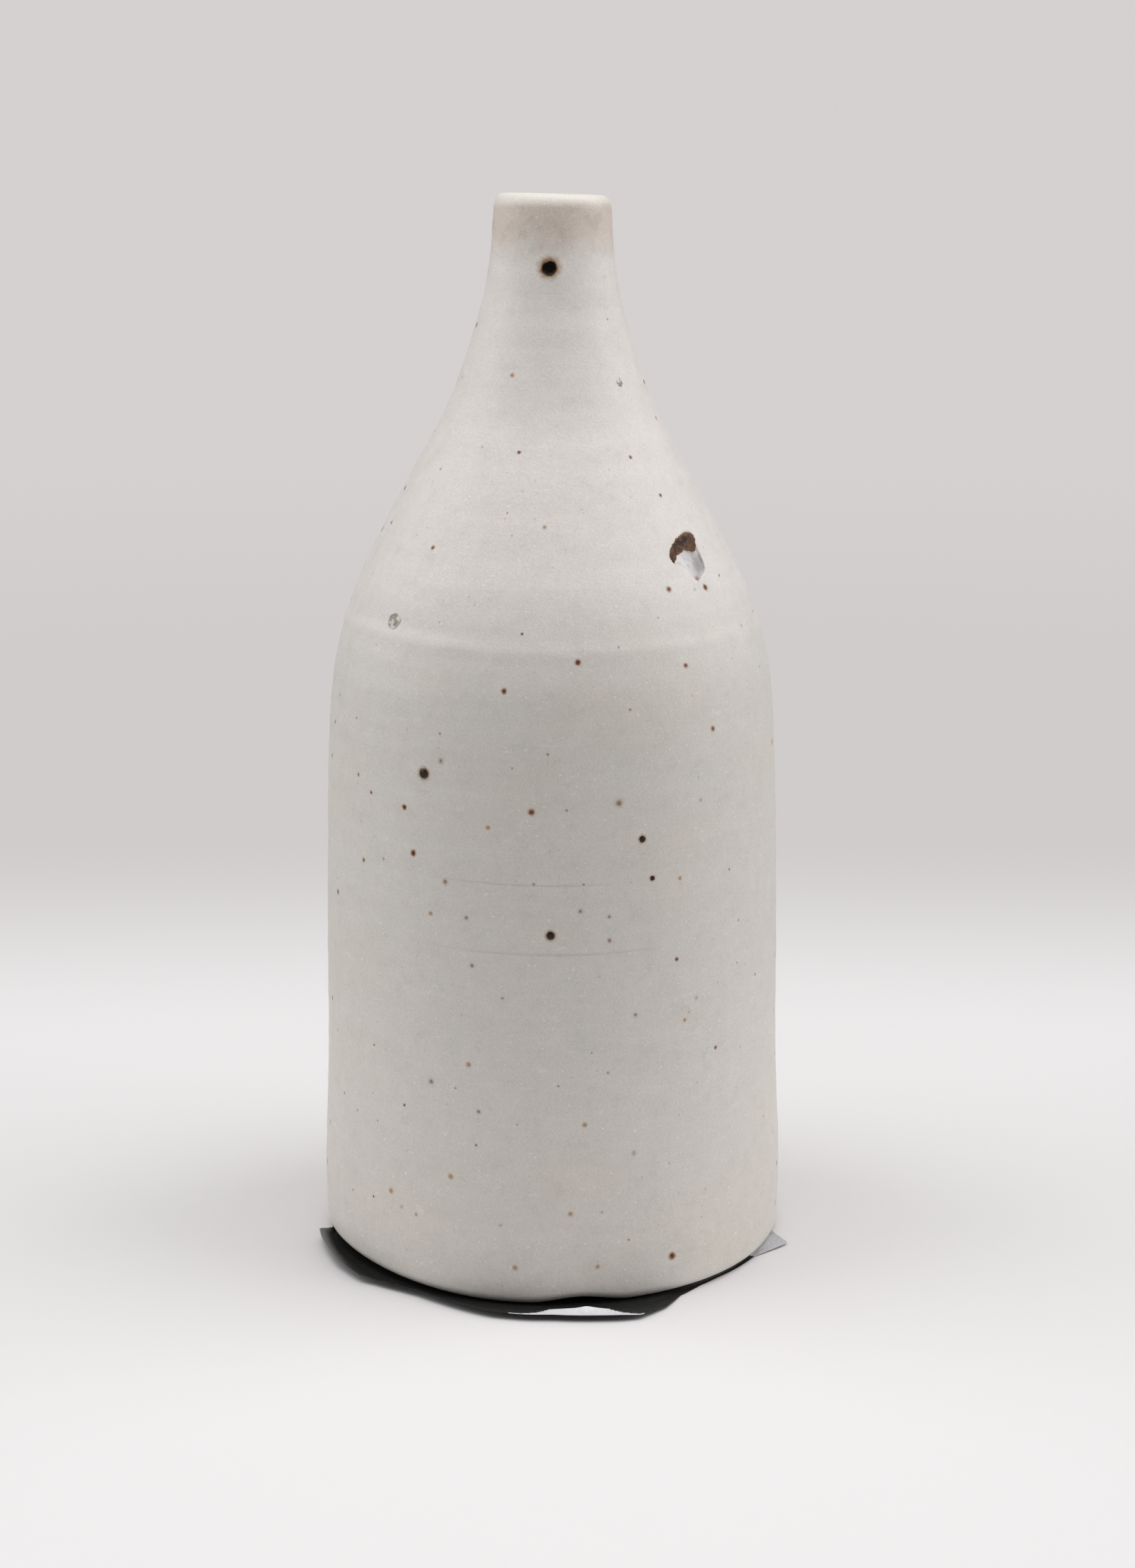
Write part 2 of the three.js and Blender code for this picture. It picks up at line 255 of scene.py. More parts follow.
BEADS = {  # melted nodules, each a CAD node
    "neck_iron_bead": (-2.8, 149.2, 2.45),
    "left_iron_bead": (-32.2, 78.9, 1.5),
    "front_iron_bead": (0, 56.5, 1.2),
    "right_iron_bead": (22.3, 70, 1.0),
    "lower_right_iron_bead": (24.9, 64.1, 0.75),
}
GRITS = {
    "neck_grit": (46, 132.8, 1.5),
    "shoulder_grit": (-48.2, 99.6, 2.6),
}
KNOWN_SPECKS = {
    "iron": [(-35, 67, 0.8), (-38, 73.5, 0.7), (52, 104, 0.8), (30, 6, 1.0)],
    "rust": [
        (37, 104.5, 0.75), (7, 95.5, 0.75), (37, 94, 0.65), (-11.5, 91.5, 0.7), (44, 84.5, 0.7),
        (-50, 74.5, 0.5), (-56, 76.5, 0.5), (-53, 64, 0.6), (-68, 57, 0.75), (-73, 82.5, 0.6),
        (-14, 123.5, 0.5), (38.5, 122.5, 0.5), (47.5, 117, 0.5), (-41, 110, 0.6), (-74, 112, 0.5),
        (31.5, 51.5, 0.55), (44, 36.5, 0.55), (-4.5, 74.5, 0.85),
    ],
    "mauve": [
        (16.5, 75.5, 1.15), (7, 60, 0.7), (-19, 51.5, 0.65), (-4, 64, 0.5), (-27.5, 81, 0.8),
        (-26, 63.5, 0.9), (-30, 33, 0.85), (-17.5, 29.5, 0.7), (20.5, 44, 0.65), (-20.5, 58.5, 0.7),
        (14, 59, 0.6), (14, 55.5, 0.65),
    ],
    "ochre": [
        (-24.5, 134, 0.6), (-1.5, 113.5, 0.6), (8, 28, 0.65), (-8.5, 6, 0.75), (4.5, 14.5, 0.65),
        (-53.5, 120.5, 0.4), (11, 6, 0.65), (-34, 12, 0.45), (-20, 36.5, 0.7), (-15, 72, 0.6),
        (34, 42, 0.5), (32.5, 63.5, 0.5), (-30, 58.5, 0.6), (-42, 14.5, 0.8), (-24.5, 19, 0.8),
    ],
    "grey": [
        (39, 74.5, 0.8), (47, 104, 0.6), (37.5, 45, 0.85), (20, 23, 1.15), (12, 14.5, 0.6),
        (-12, 12.5, 0.6), (54, 35, 0.5), (-38.5, 12.5, 0.8), (-33, 124, 0.5), (-8, 28, 0.5),
    ],
}
SPECK_LOOKS = {  # colour of the middle, and how strongly iron stains its edge and the glaze round it
    "iron": ((0.022, 0.008, 0.006), 1.0),
    "rust": ((0.135, 0.022, 0.010), 0.8),
    "mauve": ((0.19, 0.105, 0.080), 0.35),
    "ochre": ((0.47, 0.215, 0.075), 0.5),
    "grey": ((0.30, 0.275, 0.26), 0.08),
    "bead": ((0.015, 0.010, 0.008), 0.95),
}
STREWN_COUNTS = {"iron": 16, "rust": 70, "mauve": 50, "ochre": 70, "grey": 80}
SPECK_GAP = 3.6  # specks nearer than this are kept in two layers, and no strewn one lies so near
FRONT_HALF = 72  # the known specks fill this many degrees each side of the front
FRONT_SHARE = 0.34  # share of the strewn specks that may fall there, and only small ones


def strewn_specks(placed):
    """Random specks all round, clear of those already placed, with few and small ones in front."""
    made = []
    for kind, count in STREWN_COUNTS.items():
        while count:
            azimuth, height = random.uniform(-180, 180), random.uniform(4, 150)
            in_front = abs(azimuth) < FRONT_HALF
            radius = float(wall_at(np.array(height))[0][0])
            if random.random() > radius / FOOT_RADIUS or (in_front and random.random() > FRONT_SHARE):
                continue
            width = random.triangular(0.25, 0.45, 0.33) if in_front else random.triangular(0.4, 1.2, 0.6)
            place = on_wall(azimuth, height)
            if all(np.linalg.norm(place - other) > SPECK_GAP for other in placed):
                placed.append(place)
                made.append((kind, azimuth, height, width))
                count -= 1
    return made


def all_specks():
    """Every stain in the glaze, as kind, azimuth, height and diameter."""
    known = [(kind, *spot) for kind, spots in KNOWN_SPECKS.items() for spot in spots]
    under_beads = [("bead", *spot) for spot in BEADS.values()]
    taken = [on_wall(azimuth, height) for _, azimuth, height, _ in known + under_beads]
    taken += [on_wall(azimuth, height) for azimuth, height, _ in GRITS.values()]
    taken.append(on_wall(STONE_AZIMUTH, STONE_HEIGHT))
    return known + under_beads + strewn_specks(taken)


# ---- Mesh making ----


def outward(points, faces):
    """The faces, turned over if they enclose a negative volume."""
    triangles = [(face[0], face[i], face[i + 1]) for face in faces for i in range(1, len(face) - 1)]
    a, b, c = (points[[t[k] for t in triangles]] for k in range(3))
    volume = np.einsum("ij,ij->i", a, np.cross(b, c)).sum()
    return faces if volume > 0 else [face[::-1] for face in faces]


def in_scene(name, data):
    """A new object with this data, linked to the scene."""
    made = bpy.data.objects.new(name, data)
    bpy.context.scene.collection.objects.link(made)
    return made


def mesh_piece(name, points, faces, materials):
    """A closed piece of the object, from points in millimetres. It rides on the one body."""
    mesh = bpy.data.meshes.new(name)
    mesh.from_pydata((points * MM).tolist(), [], outward(points, faces))
    for material in materials:
        mesh.materials.append(material)
    mesh.polygons.foreach_set("use_smooth", [True] * len(mesh.polygons))
    mesh.update()
    piece = in_scene(name, mesh)
    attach(piece, "root")
    return piece


ATTRIBUTE_VALUES = {"FLOAT": "value", "FLOAT_VECTOR": "vector", "FLOAT_COLOR": "color"}


def store(piece, name, kind, values):
    """Keeps a value for each point of the piece, for its material to read."""
    data = piece.data.attributes.new(name, kind, "POINT").data
    data.foreach_set(ATTRIBUTE_VALUES[kind], np.ravel(values))


def lattice(grid, ring):
    """Points and faces of a grid that closes on itself round its columns. ring says whether its
    rows close on themselves too; if not, its first and last rows are closed by fans."""
    rows, columns, _ = grid.shape
    points = grid.reshape(-1, 3)
    index = np.arange(rows * columns).reshape(rows, columns)
    lower = index if ring else index[:-1]
    upper = np.roll(index, -1, 0) if ring else index[1:]
    quads = np.stack([lower, np.roll(lower, -1, 1), np.roll(upper, -1, 1), upper], -1)
    faces = quads.reshape(-1, 4).tolist()
    if not ring:
        points = np.vstack([points, grid[0].mean(0), grid[-1].mean(0)])
        first, last = index[0].tolist(), index[-1].tolist()
        for i in range(columns):
            after = (i + 1) % columns
            faces.append([rows * columns, first[after], first[i]])
            faces.append([rows * columns + 1, last[i], last[after]])
    return points, faces


def spaced(low, high, step, zones):
    """Values from low to high at a step, and at each zone's finer step inside that zone."""
    values = [np.arange(low, high, step), [high]]
    for start, end, fine in zones:
        values = [v[(v < start) | (v > end)] if isinstance(v, np.ndarray) else v for v in values]
        values.append(np.arange(start, end, fine))
    return np.unique(np.round(np.concatenate(values), 4))


# ---- Node materials ----


class Nodes:
    """A node tree under construction."""

    def __init__(self, tree):
        self.tree = tree

    def node(self, kind, inputs=None, **settings):
        made = self.tree.nodes.new(kind)
        for key, value in settings.items():
            setattr(made, key, value)
        for key, value in (inputs or {}).items():
            if isinstance(value, bpy.types.NodeSocket):
                self.tree.links.new(value, made.inputs[key])
            else:
                made.inputs[key].default_value = value
        return made

    def math(self, operation, a, b=0.0, c=0.0, clamp=False):
        inputs = {0: a, 1: b, 2: c}
        return self.node("ShaderNodeMath", inputs, operation=operation, use_clamp=clamp).outputs[0]

    def vector(self, operation, a, b=(0, 0, 0)):
        made = self.node("ShaderNodeVectorMath", {0: a, 1: b}, operation=operation)
        return made.outputs["Value" if operation in ("LENGTH", "DISTANCE") else "Vector"]

    def span(self, value, low, high, start=0.0, end=1.0):
        """A smooth step of a value from low to high onto start to end."""
        inputs = {"Value": value, "From Min": low, "From Max": high, "To Min": start, "To Max": end}
        made = self.node("ShaderNodeMapRange", inputs, interpolation_type="SMOOTHSTEP")
        return made.outputs[0]

    def mix(self, share, a, b, blend="MIX"):
        made = self.node("ShaderNodeMix", data_type="RGBA", blend_type=blend)
        for socket, value in zip((made.inputs[0], made.inputs[6], made.inputs[7]), (share, a, b)):
            if isinstance(value, bpy.types.NodeSocket):
                self.tree.links.new(value, socket)
            else:
                socket.default_value = value if isinstance(value, float) else (*value[:3], 1.0)
        return made.outputs[2]


class Shader(Nodes):
    """A material under construction. Lengths inside it are in millimetres."""

    def __init__(self, name):
        self.material = bpy.data.materials.new(name)
        self.material.use_nodes = True
        super().__init__(self.material.node_tree)
        self.surface = self.tree.nodes["Principled BSDF"]
        place = self.node("ShaderNodeTexCoord").outputs["Object"]
        self.place = self.vector("MULTIPLY", place, (1000, 1000, 1000))

    def set(self, **inputs):
        """Sets or links the surface's sockets; an underscore in a name stands for a space."""
        for key, value in inputs.items():
            socket = self.surface.inputs[key.replace("_", " ")]
            if isinstance(value, bpy.types.NodeSocket):
                self.tree.links.new(value, socket)
            else:
                socket.default_value = value

    def noise(self, size, detail=4, stretch=(1, 1, 1), roughness=0.5):
        """Noise whose features are about size wide, times stretch along each axis."""
        place = self.vector("MULTIPLY", self.place, tuple(1 / (size * s) for s in stretch))
        inputs = {"Vector": place, "Scale": 1.0, "Detail": detail, "Roughness": roughness}
        return self.node("ShaderNodeTexNoise", inputs).outputs["Fac"]

    def grains(self, spacing, width, share, shift=0.0):
        """Small round grains in random places: 1 inside one. share is how many cells hold one."""
        place = self.vector("ADD", self.place, (shift, shift, shift))
        inputs = {"Vector": place, "Scale": 1 / spacing, "Randomness": 1.0}
        cells = self.node("ShaderNodeTexVoronoi", inputs)
        reach = width / 2 / spacing
        grain = self.span(cells.outputs["Distance"], reach * 1.15, reach * 0.7)
        chance = self.node("ShaderNodeSeparateColor", {"Color": cells.outputs["Color"]}).outputs[0]
        return self.math("MULTIPLY", grain, self.math("LESS_THAN", chance, share))

    def attribute(self, name, output="Fac"):
        return self.node("ShaderNodeAttribute", attribute_name=name).outputs[output]

    def along(self, axis):
        return self.node("ShaderNodeSeparateXYZ", {"Vector": self.place}).outputs[axis]

    def bump(self, height, distance, normal=None):
        inputs = {"Height": height, "Distance": distance * MM}
        if normal is not None:
            inputs["Normal"] = normal
        return self.node("ShaderNodeBump", inputs).outputs[0]

    def tinted(self, colour, share, tint):
        """The colour multiplied by a tint, as far as share says."""
        return self.mix(1.0, colour, self.mix(share, (1, 1, 1), tint), blend="MULTIPLY")

    def shaded(self, colour, factor):
        """The colour multiplied by a number."""
        grey = self.node("ShaderNodeCombineColor", {0: factor, 1: factor, 2: factor}).outputs[0]
        return self.mix(1.0, colour, grey, blend="MULTIPLY")

    def laid_over(self, colour, mask, strength, other):
        """The colour, with another over it where the mask is 1."""
        return self.mix(self.math("MULTIPLY", mask, strength), colour, other)

    def finished(self, colour, roughness, normal, **more):
        """The material, with these on its surface."""
        self.set(Base_Color=colour, Roughness=roughness, Normal=normal, **more)
        return self.material


GLAZE_THICK = (0.822, 0.778, 0.742)  # on the shoulder and neck
GLAZE_THIN = (0.742, 0.708, 0.662)  # on the body
WARM_TINT = (1.0, 0.990, 0.968)
COOL_TINT = (0.975, 0.982, 0.978)
PALE_TINT = (1.03, 1.03, 1.03)
DULL_TINT = (0.955, 0.95, 0.948)
THIN_TINT = (0.975, 0.970, 0.970)  # just above the foot
HALO_TAN = (0.42, 0.28, 0.13)
RUST_RIM = (0.31, 0.095, 0.040)
LIP_CREAM = (0.82, 0.77, 0.70)
FUMED_BAND = (0.735, 0.640, 0.565)
FUMED_SMOKE = (0.57, 0.49, 0.43)
GROG_WHITE = (0.90, 0.885, 0.86)
CRUMB_WHITE = (0.88, 0.85, 0.80)
WISP_WHITE = (0.87, 0.86, 0.84)
PEPPER_BROWN = (0.46, 0.38, 0.31)
DUST_GREY = (0.30, 0.27, 0.25)
SAND_OCHRE = (0.56, 0.36, 0.20)
SCORE_GREY = (0.36, 0.34, 0.31)
SPECK_LAYERS = ("a", "b")


def speckled(shader, colour):
    """Adds the stains that the mesh's speck attributes hold. Returns colour and stain strength."""
    wobble = shader.node("ShaderNodeTexNoise", {"Vector": shader.place, "Scale": 1.9, "Detail": 3.0})
    shake = shader.vector("SUBTRACT", wobble.outputs["Color"], (0.5, 0.5, 0.5))
    shake = shader.vector("MULTIPLY", shake, (0.8, 0.8, 0.8))
    total = 0.0
    for layer in SPECK_LAYERS:
        offset = shader.vector("ADD", shader.attribute(f"speck_{layer}", "Vector"), shake)
        far = shader.vector("LENGTH", offset)
        bleed = shader.attribute(f"bleed_{layer}")
        halo = shader.math("MULTIPLY", shader.span(far, 1.8, 0.9), bleed)
        colour = shader.laid_over(colour, halo, 0.8, HALO_TAN)
        rim = shader.math("MULTIPLY", shader.span(far, 0.25, 1.0), bleed)
        inside = shader.mix(rim, shader.attribute(f"tint_{layer}", "Color"), RUST_RIM)
        firm = shader.math("MULTIPLY", bleed, 0.75)
        core = shader.span(far, shader.math("MULTIPLY_ADD", bleed, 0.2, 1.0), firm)
        solid = shader.math("MULTIPLY", core, shader.math("MULTIPLY_ADD", bleed, 0.35, 0.65))
        colour = shader.mix(solid, colour, inside)
        total = shader.math("ADD", total, core, clamp=True)
    return colour, total


def glaze_material():
    """Satin-matt white glaze: thinner and greyer on the body, clouded and mottled, faintly brushed
    round, fumed brown in a ragged band under a cream lip, with grog grains and iron specks."""
    shader = Shader("glaze")
    height = shader.along("Z")
    cloud = shader.noise(13, detail=5, stretch=(1.5, 1.5, 1))
    mottle = shader.noise(2.6, detail=5, roughness=0.65)
    blush = shader.noise(5.5, roughness=0.6)
    brushed = shader.noise(1.1, detail=3, stretch=(22, 22, 1), roughness=0.6)
    colour = shader.mix(shader.span(height, 88, 106), GLAZE_THIN, GLAZE_THICK)
    tints = [
        (cloud, 0.42, 0.68, WARM_TINT),
        (blush, 0.5, 0.32, COOL_TINT),
        (mottle, 0.5, 0.68, PALE_TINT),
        (mottle, 0.48, 0.3, DULL_TINT),
        (height, 34, 10, THIN_TINT),
    ]
    for value, none, full, tint in tints:
        colour = shader.tinted(colour, shader.span(value, none, full), tint)
    below_lip = shader.math("SUBTRACT", FOOT + HEIGHT, height)
    wander = shader.math("MULTIPLY_ADD", shader.noise(4.2, detail=5, roughness=0.65), 9.0, -4.5)
    ragged = shader.math("ADD", below_lip, wander)
    lip_line = shader.math("MULTIPLY_ADD", wander, 0.12, below_lip)
    band = shader.math("MULTIPLY", shader.span(ragged, 11.0, 5.0), shader.span(lip_line, 1.1, 2.5))
    colour = shader.mix(band, colour, FUMED_BAND)
    smoke = shader.math("MULTIPLY", band, shader.span(mottle, 0.52, 0.36, 0.0, 0.45))
    colour = shader.mix(smoke, colour, FUMED_SMOKE)
    colour = shader.mix(shader.span(lip_line, 2.3, 1.1), colour, LIP_CREAM)
    colour = shader.shaded(colour, shader.span(brushed, 0.25, 0.75, 0.988, 1.008))
    fine = shader.noise(0.22, detail=3, roughness=0.7)
    colour = shader.shaded(colour, shader.span(fine, 0.34, 0.66, 0.93, 1.06))
    grog = shader.grains(1.2, 0.32, 0.5)
    colour = shader.laid_over(colour, grog, 0.7, GROG_WHITE)
    crumbs = shader.grains(3.1, 0.6, 0.16, shift=53.0)
    colour = shader.laid_over(colour, crumbs, 0.6, CRUMB_WHITE)
    wisps = shader.noise(0.8, stretch=(4.5, 4.5, 1), roughness=0.6)
    colour = shader.mix(shader.span(wisps, 0.62, 0.74, 0.0, 0.4), colour, WISP_WHITE)
    peppered = shader.noise(0.28, detail=2)
    colour = shader.mix(shader.span(peppered, 0.34, 0.25, 0.0, 0.25), colour, PEPPER_BROWN)
    colour = shader.laid_over(colour, shader.grains(2.6, 0.34, 0.2, shift=31.0), 0.35, DUST_GREY)
    colour = shader.laid_over(colour, shader.grains(2.2, 0.36, 0.22, shift=77.0), 0.4, SAND_OCHRE)
    colour = shader.laid_over(colour, shader.attribute("scored"), 0.22, SCORE_GREY)
    colour, stain = speckled(shader, colour)
    rough = shader.span(shader.noise(3.5), 0.3, 0.7, 0.42, 0.54)
    rough = shader.math("SUBTRACT", rough, shader.math("MULTIPLY", stain, 0.15))
    relief = shader.bump(shader.noise(0.45, detail=5, roughness=0.65), 0.045)
    dimples = shader.noise(2.4, detail=3)
    for height, depth in ((dimples, 0.05), (brushed, 0.006), (grog, 0.02), (crumbs, 0.04)):
        relief = shader.bump(height, depth, normal=relief)
    return shader.finished(colour, rough, relief, IOR=1.5)


CLAY_LIGHT, CLAY_DARK = (0.62, 0.55, 0.45), (0.50, 0.43, 0.34)
IRON_GLASS, IRON_BROWN = (0.006, 0.004, 0.003), (0.15, 0.06, 0.02)
STONE_DARK, STONE_BROWN = (0.040, 0.019, 0.012), (0.165, 0.075, 0.038)
PAD_BLACK, PAD_DARK = (0.008, 0.008, 0.008), (0.018, 0.018, 0.017)


def clay_material():
    """Bare fired clay: pale buff, dry, with grog and iron grains."""
    shader = Shader("bare_clay")
    colour = shader.mix(shader.noise(5), CLAY_LIGHT, CLAY_DARK)
    colour = shader.mix(shader.grains(1.4, 0.5, 0.5), colour, (0.74, 0.70, 0.62))
    colour = shader.mix(shader.grains(2.4, 0.5, 0.3, shift=12.0), colour, (0.16, 0.09, 0.06))
    relief = shader.bump(shader.noise(0.4), 0.05)
    rough = shader.span(shader.noise(2.0, detail=2), 0.3, 0.7, 0.82, 0.95)
    return shader.finished(colour, rough, relief)


def bead_material():
    """Melted iron: black glass with a brown rim where it thins out."""
    shader = Shader("iron_bead")
    edge = shader.attribute("edge")
    colour = shader.mix(shader.span(edge, 0.72, 1.0), IRON_GLASS, IRON_BROWN)
    colour = shader.laid_over(colour, shader.noise(0.5, detail=3), 0.03, (0.08, 0.05, 0.035))
    rough = shader.span(shader.noise(0.35, detail=3), 0.3, 0.75, 0.12, 0.28)
    relief = shader.bump(shader.noise(0.3, detail=3), 0.03)
    return shader.finished(colour, rough, relief, IOR=1.5)


def grit_material():
    """Grey-green grit under a film of glaze."""
    shader = Shader("grit")
    edge = shader.attribute("edge")
    kinds = shader.noise(1.1, roughness=0.6)
    colour = shader.mix(shader.span(kinds, 0.47, 0.60), (0.33, 0.325, 0.28), (0.78, 0.73, 0.65))
    colour = shader.mix(shader.span(edge, 0.75, 1.0), colour, (0.72, 0.69, 0.63))
    rough = shader.span(shader.noise(0.4, detail=2), 0.3, 0.7, 0.5, 0.75)
    relief = shader.bump(shader.noise(0.25, detail=3), 0.05)
    return shader.finished(colour, rough, relief)


def stone_material():
    """Burnt stone: dry dark brown with black pits and rusty and pale crumbs."""
    shader = Shader("burnt_stone")
    patches = shader.noise(1.5, detail=5, roughness=0.7)
    colour = shader.mix(shader.span(patches, 0.38, 0.60), STONE_DARK, STONE_BROWN)
    olive = shader.noise(0.9, roughness=0.6)
    colour = shader.mix(shader.span(olive, 0.56, 0.72, 0.0, 0.7), colour, (0.19, 0.13, 0.055))
    burnt = shader.noise(1.9, detail=2)
    colour = shader.mix(shader.span(burnt, 0.54, 0.64, 0.0, 0.9), colour, (0.014, 0.009, 0.007))
    edge = shader.attribute("edge")
    colour = shader.mix(shader.span(edge, 0.7, 1.0, 0.0, 0.8), colour, (0.29, 0.135, 0.05))
    rough = shader.span(patches, 0.3, 0.7, 0.6, 0.95)
    relief = shader.bump(shader.noise(0.35, roughness=0.6), 0.07)
    return shader.finished(colour, rough, relief)


def pool_material():
    """Milky glaze pooled in the pit. The mesh holds its tones, with painted shade along its steep right
    edge; this adds swirls and streaks.
    """
    shader = Shader("milky_pool")
    tone = shader.attribute("tone", "Color")
    swirl = shader.noise(1.3)
    streaks = shader.noise(0.9, roughness=0.6)
    colour = shader.mix(shader.span(swirl, 0.45, 0.7, 0.0, 0.45), tone, (0.78, 0.76, 0.745))
    colour = shader.mix(shader.span(streaks, 0.52, 0.36, 0.0, 0.4), colour, (0.40, 0.38, 0.375))
    rough = shader.span(swirl, 0.3, 0.7, 0.3, 0.45)
    relief = shader.bump(shader.noise(0.6, detail=2), 0.02)
    return shader.finished(colour, rough, relief, IOR=1.5)


def pad_top_material():
    """The pad's dark face: smooth, slightly scuffed and satin, with painted sheen where it curls up."""
    shader = Shader("pad_dark_face")
    fibre = shader.noise(0.5)
    colour = shader.mix(shader.span(fibre, 0.3, 0.7), PAD_BLACK, PAD_DARK)
    # Painted sheen: the face is made lighter grey where it curls up at the left, for the light it catches
    # there
    curled = shader.span(shader.along("Z"), 0.7, 1.8)
    painted_sheen = shader.math("MULTIPLY", curled, shader.span(shader.along("X"), -29, -35))
    colour = shader.laid_over(colour, painted_sheen, 0.9, (0.28, 0.28, 0.27))
    colour = shader.laid_over(colour, shader.noise(9), 0.06, (0.11, 0.11, 0.105))
    rough = shader.span(shader.noise(2.5, detail=3), 0.3, 0.7, 0.45, 0.6)
    relief = shader.bump(fibre, 0.01)
    return shader.finished(colour, rough, relief, IOR=1.35)


def pad_back_material():
    """The pad's pale side, where it is folded over: uncoated, with fine fibres, and painted shade low
    down.
    """
    shader = Shader("pad_pale_back")
    fibre = shader.noise(0.4, detail=5, stretch=(1, 3, 1))
    height = shader.along("Z")
    low = shader.mix(shader.span(fibre, 0.3, 0.7), (0.55, 0.545, 0.57), (0.64, 0.63, 0.65))
    high = shader.mix(shader.span(fibre, 0.3, 0.7), (0.86, 0.85, 0.88), (0.93, 0.92, 0.94))
    # Painted shade: the pale side is made darker low down, near the floor, and lighter higher up
    colour = shader.mix(shader.span(height, 0.7, 1.9), low, high)
    rough = shader.span(fibre, 0.3, 0.7, 0.75, 0.9)
    relief = shader.bump(fibre, 0.02)
    return shader.finished(colour, rough, relief)


# ---- The pot ----

LIP_SQUARENESS = 0.85
LIP_DEPTH = 3.0  # height over which the lip rounds over
LIP_DROP = 0.3  # how far the lip stays below the part's highest point
CORNER_STEP = 8  # degrees between rows round the foot's and the lip's edges
PLAIN_STEP = 6.0  # row spacing of the surfaces that no one sees

STONE_ROWS = (STONE_HEIGHT - 4.6, STONE_HEIGHT + 4.2, 0.22)
STONE_COLUMNS = (STONE_AZIMUTH - 10.5, STONE_AZIMUTH + 9.5, 0.45)
LINE_ROWS = [(height - 0.5, height + 0.5, 0.14) for height, _, _ in SCORED_LINES]

THROWING_PITCH, FINE_PITCH = 7.3, 3.9  # spacing of the throwing lines up the wall
LEDGE = 97.0  # height of the step where the shoulder starts
COLLAR = 124.0  # height of the low ridge under the neck
WAIST = 80  # height round which the body is a little hollow
BEAD_SWELLING = 0.05  # how far the glaze is raised round a melted bead

azimuths = spaced(-180, 180 - COLUMN_STEP, COLUMN_STEP, [STONE_COLUMNS])
plain_azimuths = np.arange(-180, 180, 3.0)


def lip_edge(step):
    """The lip from outside to inside: rounded over, but flatter than a half circle."""
    points, normals = arc((0, 0), 1.0, 0, 180, step)
    squared = np.sign(points) * np.abs(points) ** LIP_SQUARENESS
    start = wall_at(np.array(HEIGHT - LIP_DEPTH))[0]
    return start - (LIP_ROUND, 0) + squared * (LIP_ROUND, LIP_DEPTH - LIP_DROP), normals


def outside_path(row_heights, corner_step):
    """Points and normals from the glaze's start at the foot to the inner edge of the lip."""
    foot_centre = (FOOT_RADIUS - FOOT_ROUND, FOOT_ROUND)
    parts = [
        arc(foot_centre, FOOT_ROUND, GLAZE_START, 0, corner_step),
        wall_at(row_heights[(row_heights > FOOT_ROUND) & (row_heights < HEIGHT - LIP_DEPTH)]),
        lip_edge(corner_step),
    ]
    return [np.vstack(column) for column in zip(*parts)]


def inside_path(row_heights, corner_step):
    """Points and normals from just under the lip down the bore to the middle of the floor."""
    outer, normals = wall_at(row_heights[::-1])
    taper = smoothstep(outer[:, 1], NECK_TAPER_FROM, HEIGHT - LIP_ROUND)
    thickness = WALL + (2 * LIP_ROUND - WALL) * taper
    bore = outer - thickness[:, None] * normals
    kept = (bore[:, 1] > FLOOR_THICKNESS + FLOOR_ROUND) & (bore[:, 1] < HEIGHT - LIP_DEPTH - 0.3)
    bore, bore_normals = bore[kept], -normals[kept]
    centre = (bore[-1, 0] - FLOOR_ROUND, FLOOR_THICKNESS + FLOOR_ROUND)
    corner, corner_normals = arc(centre, FLOOR_ROUND, 0, -90, corner_step)
    middle = np.array([[centre[0] / 2, FLOOR_THICKNESS], [0.5, FLOOR_THICKNESS]])
    upward = np.array([[0, 1.0], [0, 1.0]])
    return np.vstack([bore, corner, middle]), np.vstack([bore_normals, -corner_normals, upward])


def stone_pit(azimuth, height):
    """How deep the pit under the stone and the milky glaze is at each place."""
    near = (np.abs(azimuth - STONE_AZIMUTH) < 14) & (np.abs(height - STONE_HEIGHT) < 8)
    depth = np.zeros(azimuth.shape)
    depth[near] = pit_depth(*seen_from(STONE_AZIMUTH, STONE_HEIGHT, azimuth[near], height[near]))
    return depth


def scored(points, azimuth, height):
    """1 in the middle of a scored line, 0 away from it. The lines waver and fade out at both ends."""
    drift = noise_at(points * (1, 1, 0.2), 26)
    strength = np.zeros(height.shape)
    for level, middle, reach in SCORED_LINES:
        across = np.abs((azimuth - middle + 180) % 360 - 180)
        line = ridge(height, level + 0.25 * drift, 0.15)
        strength = np.maximum(strength, line * (1 - smoothstep(across, 0.2 * reach, reach)))
    return strength


def relief(points, azimuth, height):
    """How far the throwing and the beads raise the glaze out of the true turned shape."""
    slow = noise_at(points, 17)
    drift = noise_at(points * (1, 1, 0.2), 26)
    turn = np.radians(azimuth)
    rings = 0.020 * np.sin(2 * np.pi * height / THROWING_PITCH + turn + 2.5 * drift) * (1 + slow)
    rings += 0.010 * np.sin(2 * np.pi * height / FINE_PITCH - turn + 4.0 * slow) * (1 + 2 * drift)
    step = LEDGE + 0.8 * drift
    ledge = 0.22 * ridge(height, step, 0.8) - 0.14 * ridge(height, step + 1.8, 1.0)
    brim = COLLAR + drift
    collar = 0.09 * ridge(height, brim, 0.9) - 0.07 * ridge(height, brim + 2.2, 1.6)
    hollow = -0.05 * ridge(height, WAIST, 7)
    swelling = 0.0
    for place_azimuth, place_height, width in BEADS.values():
        right, up = seen_from(place_azimuth, place_height, azimuth, height)
        far = np.hypot(right, up) / width
        swelling = swelling + BEAD_SWELLING * ridge(far, 0.6, 0.35)
    body = 0.13 * slow + rings + ledge * (0.6 + 0.4 * drift) + collar * (0.6 + 0.4 * slow) + hollow
    on_body = smoothstep(height, 1.0, 6.0) * (1 - smoothstep(height, HEIGHT - 6, HEIGHT - 2))
    return body * on_body + swelling


